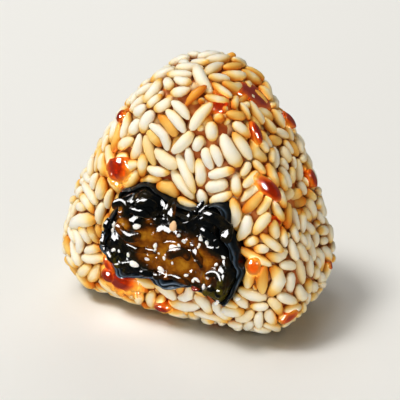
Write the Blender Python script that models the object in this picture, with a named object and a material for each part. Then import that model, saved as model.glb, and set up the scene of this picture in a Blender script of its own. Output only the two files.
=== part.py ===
"""A glazed onigiri: a rounded triangle of pressed rice with seaweed filling in its face.

The ball stands on its flat base with its face towards -Y. The origin is on the floor
under the middle of the whole's box. All lengths are in metres.

rice_ball        the pressed rice, with the low relief of its outer grains
nori_lining      the wet seaweed sheet that lines the hollow in the face
seaweed_filling  the simmered seaweed that the lining holds
"""

import math

import bmesh
import bpy
import numpy as np

# The ball, seen from the front and then from the side.
BALL_WIDTH = 0.0735
BALL_HEIGHT = 0.070
BALL_THICKNESS = 0.0405
TOP_CORNER = 0.0185
BASE_CORNER = 0.0143
SIDE_BULGE = 0.0023
BASE_BULGE = 0.0003
APEX_LEAN = 0.0025
EDGE_ROUND = 0.0110
FACE_DOME = 0.0018
DOME_REACH = 0.032
THINNING = 0.05
WIDEST_HEIGHT = 0.42 * BALL_HEIGHT
CENTRE = np.array([0.0, 0.0, WIDEST_HEIGHT])
REST_DEPTH = 0.0012

# Where the ball's own axis stands, which brings the middle of the whole over the origin.
PLACE = (-0.0006, 0.0017, 0.0)

# The grains in the outer layer, and how far their backs stand out of the mean surface.
GRAIN_LENGTH = 0.0074
LENGTH_SPREAD = 0.25
GRAIN_WIDTH = 0.0033
GRAIN_RISE = 0.0007
RISE_SPREAD = 0.4
GRAIN_END_RISE = 0.0005
CREVICE_DEPTH = 0.0008
CREVICE_SPACING = 0.00160
CROWDING = 0.86
GRAIN_TRIES = 9000
CREVICE_TRIES = 16000
SEED = 20

# The hollow in the face and the two pieces in it. The outline's points are (x, z).
HOLLOW_CENTRE = (0.0030, 0.0265)
HOLLOW_OUTLINE = [
    (-0.0041, 0.0423), (0.0017, 0.0401), (0.0067, 0.0385), (0.0110, 0.0388),
    (0.0154, 0.0411), (0.0190, 0.0400), (0.0198, 0.0345), (0.0222, 0.0295),
    (0.0222, 0.0263), (0.0238, 0.0230), (0.0221, 0.0185), (0.0208, 0.0154),
    (0.0181, 0.0123), (0.0143, 0.0148), (0.0093, 0.0156), (0.0052, 0.0150),
    (0.0015, 0.0139), (-0.0015, 0.0158), (-0.0064, 0.0149), (-0.0121, 0.0134),
    (-0.0141, 0.0173), (-0.0182, 0.0201), (-0.0170, 0.0250), (-0.0151, 0.0303),
    (-0.0130, 0.0340), (-0.0116, 0.0385), (-0.0085, 0.0402),
]
HOLLOW_DEPTH = 0.0230
HOLLOW_FLOOR = 0.50
GAP = 0.0003
LINING_WALL = 0.0015
LINING_FOLD = 0.0024
FOLD_TURN = math.radians(8)
FOLD_SPREAD = math.radians(38)
LINING_STAND = 0.0014
LINING_CREST = 0.0009
CREST_RINGS = (0.12, 0.5, 0.88)
FILLING_BELOW_RIM = 0.0003
FILLING_SWELL = 0.0010
FACE_RINGS = (0.97, 0.89, 0.80, 0.70, 0.59, 0.47, 0.34, 0.20)
POINTS_ROUND = 54
WALL_RINGS = 4

# Waves of the lining's rim: how many go round it, the height of each, and its start.
RUFFLES = [(11, 0.0005, 0.0), (6, 0.00035, 1.0)]

# Lumps of seaweed on the filling's face: x, z, radius and height of each.
LUMPS = [
    (-0.0094, 0.0360, 0.0040, 0.0034), (-0.0032, 0.0368, 0.0040, 0.0036),
    (-0.0066, 0.0292, 0.0054, 0.0032), (0.0070, 0.0362, 0.0046, 0.0036),
    (0.0150, 0.0365, 0.0044, 0.0024), (0.0048, 0.0238, 0.0050, 0.0022),
    (0.0170, 0.0195, 0.0048, 0.0030), (-0.0122, 0.0200, 0.0044, 0.0018),
    (0.0140, 0.0285, 0.0044, 0.0014), (-0.0050, 0.0195, 0.0040, 0.0014),
    (0.0085, 0.0180, 0.0036, 0.0016),
]


def clear_scene():
    for thing in list(bpy.data.objects):
        bpy.data.objects.remove(thing)


# ---------------------------------------------------------------- the ball's smooth form


def corner_circles():
    """Centre and radius of the circles in the three corners: top, left and right."""
    foot = BALL_WIDTH / 2 - BASE_CORNER
    return [
        (np.array([0.0, BALL_HEIGHT - TOP_CORNER]), TOP_CORNER),
        (np.array([-foot, BASE_CORNER]), BASE_CORNER),
        (np.array([foot, BASE_CORNER]), BASE_CORNER),
    ]


def side_circle(first, second, bulge):
    """Centre and radius of the large arc that runs from one corner circle to the next.

    The arc touches both corner circles from outside and stands out of the chord
    between the corners by bulge.
    """
    (p, a), (q, b) = first, second
    chord = np.hypot(*(q - p))
    radius = chord**2 / (8 * bulge) + (a + b) / 2
    along = (q - p) / chord
    inward = np.array([-along[1], along[0]])
    ra, rb = radius - a, radius - b
    reach = (ra**2 - rb**2 + chord**2) / (2 * chord)
    centre = p + along * reach + inward * math.sqrt(ra**2 - reach**2)
    return centre, radius


def outline_distance(x, z):
    """Distance from the rounded triangle of the front view, negative inside it."""
    corners = corner_circles()
    bulges = [SIDE_BULGE, BASE_BULGE, SIDE_BULGE]
    sides = [
        side_circle(corners[i], corners[(i + 1) % 3], bulges[i]) for i in range(3)
    ]
    distance = np.full(np.shape(x), -np.inf)
    for centre, radius in sides:
        distance = np.maximum(distance, np.hypot(x - centre[0], z - centre[1]) - radius)
    for i, (centre, radius) in enumerate(corners):
        dx, dz = x - centre[0], z - centre[1]
        beyond = np.ones(np.shape(x), bool)
        for (side, _), turn in ((sides[i - 1], -1), (sides[i], 1)):
            ux, uz = centre - side
            beyond &= turn * (dx * uz - dz * ux) > 0
        distance = np.where(beyond, np.hypot(dx, dz) - radius, distance)
    return distance


def ball_distance(points):
    """Roughly the distance from the ball's smooth surface, negative inside it.

    The front view's outline is given a thickness, its edges are rounded like a
    quarter circle, and the faces are domed and grow thinner towards the apex.
    """
    x, y, z = points.T
    flat = outline_distance(x - APEX_LEAN * z / BALL_HEIGHT, z)
    rise = z - WIDEST_HEIGHT
    half = BALL_THICKNESS / 2 - FACE_DOME * (x**2 + rise**2) / DOME_REACH**2
    out = flat + EDGE_ROUND
    deep = np.abs(y) - (half - THINNING * rise) + EDGE_ROUND
    inside = np.minimum(np.maximum(out, deep), 0)
    return inside + np.hypot(np.maximum(out, 0), np.maximum(deep, 0)) - EDGE_ROUND


def on_ball(directions):
    """Where rays from the ball's centre in these directions leave its surface."""
    near = np.zeros(len(directions))
    far = np.full(len(directions), BALL_WIDTH)
    for _ in range(32):
        middle = (near + far) / 2
        outside = ball_distance(CENTRE + directions * middle[:, None]) > 0
        far = np.where(outside, middle, far)
        near = np.where(outside, near, middle)
    return CENTRE + directions * near[:, None]


def normals_at(points):
    step = 1e-5
    slope = [
        ball_distance(points + step * axis) - ball_distance(points - step * axis)
        for axis in np.eye(3)
    ]
    return unit(np.stack(slope, axis=1))


def unit(vectors):
    return vectors / np.linalg.norm(vectors, axis=-1, keepdims=True)


# --------------------------------------------------------------- the relief of the grains


def even_samples(rng, count):
    """Random points on the ball, as likely on any square millimetre as on another."""
    directions = unit(rng.normal(size=(3 * count, 3)))
    points = on_ball(directions)
    normals = normals_at(points)
    radius = np.linalg.norm(points - CENTRE, axis=1)
    area = radius**2 / (normals * directions).sum(axis=1)
    kept = rng.random(len(points)) < area / area.max()
    return points[kept][:count], normals[kept][:count]


def place_grains(rng):
    """The spine of each outer grain: its two ends and its middle, none crowding another."""
    points, normals = even_samples(rng, GRAIN_TRIES)
    across = unit(np.cross(normals, rng.normal(size=normals.shape)))
    lengths = GRAIN_LENGTH * (1 + LENGTH_SPREAD * rng.uniform(-1, 1, len(points)))
    clear = CROWDING * GRAIN_WIDTH
    spines = np.empty((0, 3))
    heights = np.empty(0)
    for point, along, length in zip(points, across, lengths):
        half = along * (length - GRAIN_WIDTH) / 2
        spine = np.array([point - half, point, point + half])
        gaps = np.linalg.norm(spines[:, None] - spine, axis=2)
        if gaps.size and gaps.min() < clear:
            continue
        spines = np.vstack([spines, spine])
        rise = GRAIN_RISE * (1 + RISE_SPREAD * rng.uniform(-1, 1))
        heights = np.append(heights, [GRAIN_END_RISE, rise, GRAIN_END_RISE])
    return on_ball(unit(spines - CENTRE)), heights


def place_crevices(rng, spines):
    """Points in the gaps between the grains, at an even spacing."""
    points, _ = even_samples(rng, CREVICE_TRIES)
    taken = spines
    for point in points:
        if np.linalg.norm(taken - point, axis=1).min() > CREVICE_SPACING:
            taken = np.vstack([taken, point])
    return taken[len(spines):]


def skin_over(points):
    """Triangles that join points all round the ball, found as a convex hull.

    The ball is first shrunk along each axis and pushed out on to a sphere, where
    every point is a corner of the hull.
    """
    spread = np.array([BALL_WIDTH, BALL_THICKNESS, BALL_HEIGHT]) / 2
    sphere = unit((points - CENTRE) / spread)
    mesh = bmesh.new()
    corners = [mesh.verts.new(place) for place in sphere]
    bmesh.ops.convex_hull(mesh, input=corners)
    return mesh, corners


def rice_mesh():
    """The pressed rice: raised along each grain's spine and sunk between the grains."""
    rng = np.random.default_rng(SEED)
    spines, heights = place_grains(rng)
    crevices = place_crevices(rng, spines)
    points = np.vstack([spines, crevices])
    lift = np.append(heights, np.full(len(crevices), -CREVICE_DEPTH))
    mesh, corners = skin_over(points)
    lifted = points + normals_at(points) * lift[:, None]
    lifted[lifted[:, 2] < REST_DEPTH, 2] = 0.0
    for corner, place in zip(corners, lifted):
        corner.co = place
    loose = [corner for corner in corners if not corner.link_faces]
    bmesh.ops.delete(mesh, geom=loose, context="VERTS")
    return mesh


# ---------------------------------------------------------------- the hollow and its fill


def hollow_outline():
    """A smooth closed curve through HOLLOW_OUTLINE, as POINTS_ROUND points (x, z)."""
    knots = np.array(HOLLOW_OUTLINE)
    count = len(knots)
    where = np.arange(POINTS_ROUND) * count / POINTS_ROUND
    start = where.astype(int)
    t = (where - start)[:, None]
    a, b, c, d = (knots[(start + shift) % count] for shift in (-1, 0, 1, 2))
    return b + t * (c - a + t * (2 * a - 5 * b + 4 * c - d + t * (3 * (b - c) + d - a))) / 2


def inset(line, distance):
    """line moved inwards by distance, square to itself."""
    ahead = np.roll(line, -1, axis=0) - np.roll(line, 1, axis=0)
    inward = np.stack([ahead[:, 1], -ahead[:, 0]], axis=1)
    return line + unit(inward) * distance


def turns(line):
    """The angle of each of the line's points about the hollow's centre."""
    x, z = (line - HOLLOW_CENTRE).T
    return np.arctan2(z, x)


def lining_share(line):
    """What the lining's wall leaves of the hollow, as a share of each point's radius.

    The sheet is folded double on its right side, so its rim is broadest there.
    """
    fold = LINING_FOLD * np.exp(-(((turns(line) - FOLD_TURN) / FOLD_SPREAD) ** 2))
    return 1 - (LINING_WALL + fold) / np.linalg.norm(line - HOLLOW_CENTRE, axis=1)


def face_at(line):
    """How far forward the ball's smooth face stands at each (x, z), as a y value."""
    x, z = line.T
    rise = z - WIDEST_HEIGHT
    half = BALL_THICKNESS / 2 - FACE_DOME * (x**2 + rise**2) / DOME_REACH**2
    return -(half - THINNING * rise)


def ring_at(line, share, y):
    """line drawn in towards the hollow's centre to share of its size, at depth y."""
    x, z = (HOLLOW_CENTRE + (line - HOLLOW_CENTRE) * np.reshape(share, (-1, 1))).T
    return np.stack([x, np.broadcast_to(y, x.shape), z], axis=1)


def wall_rings(line, rim, floor):
    """Rings from the floor of the hollow up to its rim, narrower towards the floor."""
    rings = []
    for step in range(WALL_RINGS + 1):
        turn = math.pi / 2 * step / WALL_RINGS
        share = HOLLOW_FLOOR + (1 - HOLLOW_FLOOR) * math.sin(turn)
        y = floor + (rim - floor) * (1 - math.cos(turn))
        rings.append(ring_at(line, share, y))
    return rings


def ruffle(line):
    """The waves of the lining's rim, as a rise for each point round it."""
    turn = turns(line)
    return sum(height * np.sin(count * turn + start) for count, height, start in RUFFLES)


def lumps_at(ring):
    """How far the seaweed's lumps stand out at each point of a ring: round caps."""
    swell = np.zeros(len(ring))
    for x, z, radius, height in LUMPS:
        away = np.hypot(ring[:, 0] - x, ring[:, 2] - z) / radius
        swell = np.maximum(swell, height * np.sqrt(np.maximum(0, 1 - away**2)))
    return swell


def loft(rings):
    """A closed mesh through rings of POINTS_ROUND points, with a fan over each end."""
    mesh = bmesh.new()
    rows = [[mesh.verts.new(place) for place in ring] for ring in rings]
    for low, high in zip(rows, rows[1:]):
        for i in range(POINTS_ROUND):
            j = (i + 1) % POINTS_ROUND
            mesh.faces.new([low[i], low[j], high[j], high[i]])
    for row in (rows[0], rows[-1]):
        tip = mesh.verts.new(np.mean([corner.co for corner in row], axis=0))
        for i in range(POINTS_ROUND):
            mesh.faces.new([row[i], row[(i + 1) % POINTS_ROUND], tip])
    bmesh.ops.recalc_face_normals(mesh, faces=mesh.faces)
    return mesh


def floor_depth():
    return HOLLOW_DEPTH - BALL_THICKNESS / 2


def hollow_cutter_mesh():
    """The hollow in the rice: the lining's outside and a gap, run out past the face."""
    line = hollow_outline()
    rings = wall_rings(line, face_at(line), floor_depth())
    rings.append(ring_at(line, 1.0, -BALL_THICKNESS))
    return loft(rings)


def lining_inside():
    """The outline of the hollow that the lining leaves for the filling."""
    line = inset(hollow_outline(), GAP)
    share = lining_share(line)
    return HOLLOW_CENTRE + (line - HOLLOW_CENTRE) * share[:, None]


def lining_mesh():
    """A dish with a thin wall: up its outside, over the ruffled rim and down inside."""
    line = inset(hollow_outline(), GAP)
    share = lining_share(line)
    face = face_at(line)
    floor = floor_depth() - GAP
    rim = face - LINING_STAND - ruffle(line)
    rings = wall_rings(line, face, floor)
    for across in CREST_RINGS:
        drop = LINING_CREST * (2 * across - 1) ** 2
        rings.append(ring_at(line, 1 - across * (1 - share), rim + drop))
    rings += wall_rings(lining_inside(), face, floor - LINING_WALL)[::-1]
    return loft(rings)


def filling_mesh():
    """The filling: a bowl shape inside the lining, under a swollen and lumpy face."""
    line = inset(lining_inside(), GAP)
    face = face_at(line)
    shoulder = face - LINING_STAND + FILLING_BELOW_RIM
    rings = wall_rings(line, face, floor_depth() - 2 * GAP - LINING_WALL)
    for share in FACE_RINGS:
        ring = ring_at(line, share, shoulder)
        ring[:, 1] -= FILLING_SWELL * (1 - share**2) + lumps_at(ring)
        rings.append(ring)
    return loft(rings)


# ------------------------------------------------------------------------ putting together


def finish(name, colour, roughness):
    """A plain Principled material of that sRGB colour."""
    material = bpy.data.materials.new(name)
    material.use_nodes = True
    shader = material.node_tree.nodes["Principled BSDF"]
    linear = [((c + 0.055) / 1.055) ** 2.4 for c in colour]
    shader.inputs["Base Color"].default_value = (*linear, 1.0)
    shader.inputs["Roughness"].default_value = roughness
    shader.inputs["Metallic"].default_value = 0.0
    return material


def add_object(name, mesh, material=None):
    data = bpy.data.meshes.new(name)
    mesh.to_mesh(data)
    mesh.free()
    data.shade_smooth()
    if material:
        data.materials.append(material)
    thing = bpy.data.objects.new(name, data)
    thing.location = PLACE
    bpy.context.scene.collection.objects.link(thing)
    return thing


def add_cutter(name, mesh):
    cutter = add_object(name, mesh)
    cutter.hide_render = True
    cutter.display_type = "WIRE"
    return cutter


def main():
    clear_scene()
    rice = add_object("rice_ball", rice_mesh(), finish("cooked_rice", (0.93, 0.87, 0.74), 0.45))
    hollow = rice.modifiers.new("hollow", "BOOLEAN")
    hollow.operation = "DIFFERENCE"
    hollow.object = add_cutter("hollow_cutter", hollow_cutter_mesh())
    add_object("nori_lining", lining_mesh(), finish("wet_nori", (0.07, 0.09, 0.10), 0.20))
    seaweed = finish("simmered_seaweed", (0.16, 0.10, 0.05), 0.15)
    add_object("seaweed_filling", filling_mesh(), seaweed)


main()
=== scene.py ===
"""A glazed onigiri: separate rice grains, a seaweed-filled hollow, glaze and sesame seeds.

Laid out as a Blender add-on: property groups hold the sizes and colours, an operator
makes each group of pieces, and main() calls the operators in order. All lengths are in
metres, in the frame's own axes: the ball stands on z = 0 with its filled face to -Y.
"""

import functools
import math

import bpy
import numpy as np
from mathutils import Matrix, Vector


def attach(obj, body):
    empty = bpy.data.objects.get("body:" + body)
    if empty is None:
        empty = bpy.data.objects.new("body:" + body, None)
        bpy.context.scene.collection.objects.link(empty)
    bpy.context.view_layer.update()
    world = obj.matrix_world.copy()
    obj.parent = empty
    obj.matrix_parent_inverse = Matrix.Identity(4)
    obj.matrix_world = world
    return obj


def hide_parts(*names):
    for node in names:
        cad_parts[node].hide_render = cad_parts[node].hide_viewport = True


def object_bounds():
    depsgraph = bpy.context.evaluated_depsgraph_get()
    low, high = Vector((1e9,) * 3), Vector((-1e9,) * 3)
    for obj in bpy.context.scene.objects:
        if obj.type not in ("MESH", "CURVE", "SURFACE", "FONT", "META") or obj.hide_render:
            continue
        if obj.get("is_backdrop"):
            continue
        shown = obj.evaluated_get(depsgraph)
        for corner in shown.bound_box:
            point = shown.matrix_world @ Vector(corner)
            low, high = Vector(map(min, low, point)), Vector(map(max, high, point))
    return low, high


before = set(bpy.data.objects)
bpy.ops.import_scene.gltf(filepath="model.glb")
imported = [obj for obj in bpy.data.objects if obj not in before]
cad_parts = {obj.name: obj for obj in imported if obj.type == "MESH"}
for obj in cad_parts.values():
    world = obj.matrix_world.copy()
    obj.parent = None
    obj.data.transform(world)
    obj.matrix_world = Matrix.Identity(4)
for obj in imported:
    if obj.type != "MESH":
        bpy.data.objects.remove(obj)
CAD_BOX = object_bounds()

bl_info = {
    "name": "Glazed Onigiri",
    "version": (1, 0, 0),
    "blender": (4, 5, 0),
    "location": "3D View > Sidebar > Onigiri",
    "description": "Builds a glazed rice ball with a seaweed filling around its packed solids",
    "category": "Add Mesh",
}

# ------------------------------------------------------------- the ball's smooth form

# The mean surface of the rice_ball solid, seen from the front and then from the side.
BALL_WIDTH = 0.0735
BALL_HEIGHT = 0.070
BALL_THICKNESS = 0.0405
TOP_CORNER = 0.0185
BASE_CORNER = 0.0143
SIDE_BULGE = 0.0023
BASE_BULGE = 0.0003
APEX_LEAN = 0.0025
EDGE_ROUND = 0.0110
FACE_DOME = 0.0018
DOME_REACH = 0.032
THINNING = 0.05
WIDEST_HEIGHT = 0.42 * BALL_HEIGHT
PLACE = np.array([-0.0006, 0.0017, 0.0])
CENTRE = PLACE + (0.0, 0.0, WIDEST_HEIGHT)

# The hollow in the face, in (x, z) from the ball's own axis, as the lining solid has it.
HOLLOW_CENTRE = np.array([0.0030, 0.0265])
HOLLOW_OUTLINE = [
    (-0.0041, 0.0423), (0.0017, 0.0401), (0.0067, 0.0385), (0.0110, 0.0388),
    (0.0154, 0.0411), (0.0190, 0.0400), (0.0198, 0.0345), (0.0222, 0.0295),
    (0.0222, 0.0263), (0.0238, 0.0230), (0.0221, 0.0185), (0.0208, 0.0154),
    (0.0181, 0.0123), (0.0143, 0.0148), (0.0093, 0.0156), (0.0052, 0.0150),
    (0.0015, 0.0139), (-0.0015, 0.0158), (-0.0064, 0.0149), (-0.0121, 0.0134),
    (-0.0141, 0.0173), (-0.0182, 0.0201), (-0.0170, 0.0250), (-0.0151, 0.0303),
    (-0.0130, 0.0340), (-0.0116, 0.0385), (-0.0085, 0.0402),
]


def unit(vectors):
    """Each vector divided by its length."""
    return vectors / np.linalg.norm(vectors, axis=-1, keepdims=True)


def corner_circles():
    """Centre and radius of the circles in the front view's corners: top, left, right."""
    foot = BALL_WIDTH / 2 - BASE_CORNER
    return [
        (np.array([0.0, BALL_HEIGHT - TOP_CORNER]), TOP_CORNER),
        (np.array([-foot, BASE_CORNER]), BASE_CORNER),
        (np.array([foot, BASE_CORNER]), BASE_CORNER),
    ]


def side_circle(first, second, bulge):
    """The arc that touches two corner circles and stands bulge out of their chord."""
    (p, a), (q, b) = first, second
    chord = np.hypot(*(q - p))
    radius = chord**2 / (8 * bulge) + (a + b) / 2
    along = (q - p) / chord
    inward = np.array([-along[1], along[0]])
    ra, rb = radius - a, radius - b
    reach = (ra**2 - rb**2 + chord**2) / (2 * chord)
    return p + along * reach + inward * math.sqrt(ra**2 - reach**2), radius


def outline_distance(x, z):
    """Distance from the rounded triangle: the largest of its sides', a corner's beyond them."""
    corners = corner_circles()
    bulges = [SIDE_BULGE, BASE_BULGE, SIDE_BULGE]
    sides = [side_circle(corners[i], corners[(i + 1) % 3], bulges[i]) for i in range(3)]
    distance = np.full(np.shape(x), -np.inf)
    for centre, radius in sides:
        distance = np.maximum(distance, np.hypot(x - centre[0], z - centre[1]) - radius)
    for i, (centre, radius) in enumerate(corners):
        dx, dz = x - centre[0], z - centre[1]
        beyond = np.ones(np.shape(x), bool)
        for (side, _), turn in ((sides[i - 1], -1), (sides[i], 1)):
            ux, uz = centre - side
            beyond &= turn * (dx * uz - dz * ux) > 0
        distance = np.where(beyond, np.hypot(dx, dz) - radius, distance)
    return distance


def half_thickness(x, z):
    """Half the ball's thickness: domed about its widest height and thinner upwards."""
    rise = z - WIDEST_HEIGHT
    dome = FACE_DOME * (x**2 + rise**2) / DOME_REACH**2
    return BALL_THICKNESS / 2 - dome - THINNING * rise


def ball_distance(points):
    """Distance from the ball's surface: the outline and the faces, joined by a round edge."""
    x, y, z = np.moveaxis(points - PLACE, -1, 0)
    out = outline_distance(x - APEX_LEAN * z / BALL_HEIGHT, z) + EDGE_ROUND
    deep = np.abs(y) - half_thickness(x, z) + EDGE_ROUND
    inside = np.minimum(np.maximum(out, deep), 0)
    return inside + np.hypot(np.maximum(out, 0), np.maximum(deep, 0)) - EDGE_ROUND


def normals_at(points):
    """The outward normal: the slope of ball_distance by central differences."""
    step = 1e-5
    slope = [
        ball_distance(points + step * axis) - ball_distance(points - step * axis)
        for axis in np.eye(3)
    ]
    return unit(np.stack(slope, axis=-1))


def at_depth(points, depth, steps=4):
    """The points moved along the surface's normals until they lie depth under it."""
    for _ in range(steps):
        points = points - normals_at(points) * (ball_distance(points) + depth)[..., None]
    return points


def on_rays(start, directions, depth=0.0):
    """Where rays from inside the ball cross the surface depth under its own."""
    near = np.zeros(directions.shape[:-1])
    far = np.full(near.shape, BALL_WIDTH)
    for _ in range(30):
        middle = (near + far) / 2
        outside = ball_distance(start + directions * middle[..., None]) > -depth
        far = np.where(outside, middle, far)
        near = np.where(outside, near, middle)
    return start + directions * near[..., None]


def side_share(normals):
    """How much of a side each place is: 0 on the faces and 1 where the ball faces left or right."""
    return np.clip(np.abs(normals[..., 0]) * 1.6 - 0.4, 0, 1)


def even_points(rng, count, crowding=0.0):
    """Random points, spread evenly but for crowding more of them on the ball's sides."""
    directions = unit(rng.normal(size=(4 * count, 3)))
    points = on_rays(CENTRE, directions)
    normals = normals_at(points)
    radius = np.linalg.norm(points - CENTRE, axis=1)
    area = radius**2 / (normals * directions).sum(axis=1) * (1 + crowding * side_share(normals))
    return points[rng.random(len(points)) < area / area.max()][:count]


# ---------------------------------------------------------------- the hollow's outline


def spline_through(knots, count):
    """A closed Catmull-Rom curve through the knots, as count points."""
    knots = np.array(knots)
    where = np.arange(count) * len(knots) / count
    start = where.astype(int)
    t = (where - start)[:, None]
    a, b, c, d = (knots[(start + shift) % len(knots)] for shift in (-1, 0, 1, 2))
    return b + t * (c - a + t * (2 * a - 5 * b + 4 * c - d + t * (3 * (b - c) + d - a))) / 2


def hollow_radius(turn):
    """The hollow outline's distance from its centre in each direction."""
    x, z = (spline_through(HOLLOW_OUTLINE, 540) - HOLLOW_CENTRE).T
    turns, radii = np.arctan2(z, x), np.hypot(x, z)
    order = np.argsort(turns)
    return np.interp(turn, turns[order], radii[order], period=2 * math.pi)


def past_hollow(points):
    """How far points in front of the ball's middle lie outside the hollow, in x and z.

    The distance is radial, minus the outline's radius in the point's direction.
    """
    x, z = (points - PLACE)[..., 0] - HOLLOW_CENTRE[0], points[..., 2] - HOLLOW_CENTRE[1]
    away = np.hypot(x, z) - hollow_radius(np.arctan2(z, x))
    return np.where(points[..., 1] < 0, away, np.inf)


# ------------------------------------------------------------------- packing the grains

# A grain is handled as four balls along its spine: where they are, and how thick.
BALL_AT = np.array([-0.74, -0.27, 0.27, 0.74])
BALL_SIZE = np.array([0.74, 1.0, 1.0, 0.74])


class Grains:
    """Arrays that say where each grain lies: one row for each grain.

    centre, along and bow are the spine's middle, its direction and the side that it
    bends to. half is half the spine's length, radius the grain's, bend how far the
    middle stands out of the chord, tilt the angle out of the surface, and depth how far
    the grain's back lies under the ball's surface.
    """

    def __init__(self, centre, along, half, radius, bend, tilt, depth):
        self.centre, self.along = centre, along
        self.half, self.radius, self.bend = half, radius, bend
        self.tilt, self.depth = tilt, depth
        self.bow = unit(np.cross(normals_at(centre), along))

    def spine(self, t):
        """The spine's points at t from -1 to 1: a chord with a rounded elbow of its own bend.

        Point = centre + half * t * along + bend * (1/2 - |t|**1.6) * bow.
        """
        shape = (len(self.half), len(t), 1)
        run = np.broadcast_to(t[:, None], shape) * (self.half[:, None, None])
        lean = (0.5 - np.abs(t) ** 1.6)[:, None] * self.bend[:, None, None]
        return self.centre[:, None] + run * self.along[:, None] + lean * self.bow[:, None]

    def balls(self):
        """The balls' middles and radii, which stand in for the grain."""
        return self.spine(BALL_AT), self.radius[:, None] * BALL_SIZE

    def settle(self, slack):
        """Turns each grain to its tilt and moves it in or out to its depth."""
        normal = normals_at(self.centre)
        flat = self.along - (self.along * normal).sum(axis=1, keepdims=True) * normal
        lean = self.tilt[:, None]
        self.along = unit(flat) * np.cos(lean) + normal * np.sin(lean)
        self.bow = unit(np.cross(normal, self.along))
        middles, radii = self.balls()
        over = ball_distance(middles) + radii
        rise = slack * over.max(axis=1) + (1 - slack) * over.mean(axis=1)
        self.centre = self.centre - normal * (rise + self.depth)[:, None]


def near_pairs(grains, reach):
    """The pairs of grains whose middles are close enough for them to touch."""
    size = grains.half + grains.radius
    square = (grains.centre**2).sum(axis=1)
    apart = square[:, None] + square - 2 * grains.centre @ grains.centre.T
    close = apart < (size[:, None] + size + reach) ** 2
    return np.nonzero(np.triu(close, 1))


def push_apart(grains, pairs, share):
    """Moves and turns overlapping grains by share of what their balls overlap."""
    first, second = pairs
    middles, radii = grains.balls()
    gap = middles[first][:, :, None] - middles[second][:, None]
    away = np.linalg.norm(gap, axis=3) + 1e-9
    over = radii[first][:, :, None] + radii[second][:, None] - away
    push = gap / away[..., None] * (np.maximum(over, 0) * share / 2)[..., None]
    shift = np.zeros_like(middles)
    np.add.at(shift, first, push.sum(axis=2))
    np.add.at(shift, second, -push.sum(axis=1))
    return shift


def keep_off_hollow(grains, clearance, share):
    """How far each ball has to move out to stay clear of the hollow's outline."""
    middles, radii = grains.balls()
    short = np.maximum(radii + clearance - past_hollow(middles), 0)
    out = middles - PLACE - (HOLLOW_CENTRE[0], 0.0, HOLLOW_CENTRE[1])
    out[..., 1] = 0.0
    return unit(out) * (short * share)[..., None]


def relax(grains, clearance, rounds, grow_from=0.7, slack=0.3):
    """Lets crowded grains push each other into place, while they grow to full size."""
    full, long = grains.radius.copy(), grains.half.copy()
    for step in range(rounds):
        grown = min(1.0, grow_from + (1 - grow_from) * step / (0.6 * rounds))
        grains.radius, grains.half = full * grown, long * grown
        if step % 8 == 0:
            pairs = near_pairs(grains, 0.001)
        shift = push_apart(grains, pairs, 0.9) + keep_off_hollow(grains, clearance, 0.5)
        arms = grains.spine(BALL_AT) - grains.centre[:, None]
        turn = np.cross(arms, shift).sum(axis=1)
        turn /= (arms**2).sum(axis=(1, 2))[:, None] + 1e-9
        grains.centre = grains.centre + shift.mean(axis=1) * 1.6
        grains.along = unit(grains.along + np.cross(turn, grains.along))
        grains.settle(slack)
    return grains


def grain_sizes(rng, count, length, width):
    """Lengths and widths as cooked grains have them: a large grain is both long and wide."""
    large = rng.normal(0.0, 0.14, count)
    long = length * np.exp(large + rng.normal(0.0, 0.16, count))
    wide = width * np.exp(0.7 * large + rng.normal(0.0, 0.06, count))
    half = np.maximum(long / 2 - 0.12 * wide, 0.55 * wide)
    return half, wide / 2


def lying_grains(rng, count, length, width, depth, bent):
    """Grains that lie along the surface, a few with an elbow, to be packed into a layer.

    Those on the ball's sides are a little smaller and stand more upright.
    """
    points = even_points(rng, count, 0.35)
    normal = normals_at(points)
    half, radius = grain_sizes(rng, len(points), length, width)
    sideways = side_share(normal)
    half, radius = half * (1 - 0.22 * sideways), radius * (1 - 0.10 * sideways)
    along = unit(np.cross(normal, rng.normal(size=points.shape)))
    upright = np.sign(along[:, 2])[:, None] * (0.0, 0.0, 1.0)
    along = unit(along + 0.9 * sideways[:, None] * upright)
    elbow = rng.random(len(points)) < bent
    sharp = rng.uniform(0.45, 0.75, len(half))
    slight = rng.uniform(0, 0.24, len(half))
    bend = half * np.where(elbow, sharp, slight)
    tilt = rng.normal(0.0, 0.10, len(points))
    down = depth + rng.uniform(-0.00030, 0.00060, len(points))
    return Grains(points, along, half, radius, bend, tilt, down)


def gap_grains(rng, grains, count, width, depth):
    """Grains that stand on end in the widest gaps of a packed layer, as wide as these allow."""
    spots = at_depth(even_points(rng, 5000), depth + width / 2, 2)
    spots = spots[past_hollow(spots) > 0.1 * width]
    middles, radii = grains.balls()
    middles, radii = middles.reshape(-1, 3), radii.ravel()
    free = np.full(len(spots), np.inf)
    for block in range(0, len(middles), 400):
        apart = np.linalg.norm(spots[:, None] - middles[None, block : block + 400], axis=2)
        free = np.minimum(free, (apart - radii[block : block + 400]).min(axis=1))
    chosen, sizes = [], []
    for _ in range(count):
        best = int(np.argmax(free))
        size = min(free[best] + 0.0002, width / 2)
        if size < 0.0008:
            break
        chosen.append(best)
        sizes.append(size)
        free = np.minimum(free, np.linalg.norm(spots - spots[best], axis=1) - size)
    points, radius = spots[chosen], np.array(sizes)
    normal = normals_at(points)
    side = unit(np.cross(normal, rng.normal(size=points.shape)))
    tilt = rng.uniform(0.9, 1.4, len(points))
    along = unit(side * np.cos(tilt)[:, None] + normal * np.sin(tilt)[:, None])
    half = radius * rng.uniform(1.1, 1.7, len(points))
    down = depth + rng.uniform(0.0001, 0.0007, len(points))
    return Grains(points, along, half, radius, 0 * radius, tilt, down)


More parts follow.
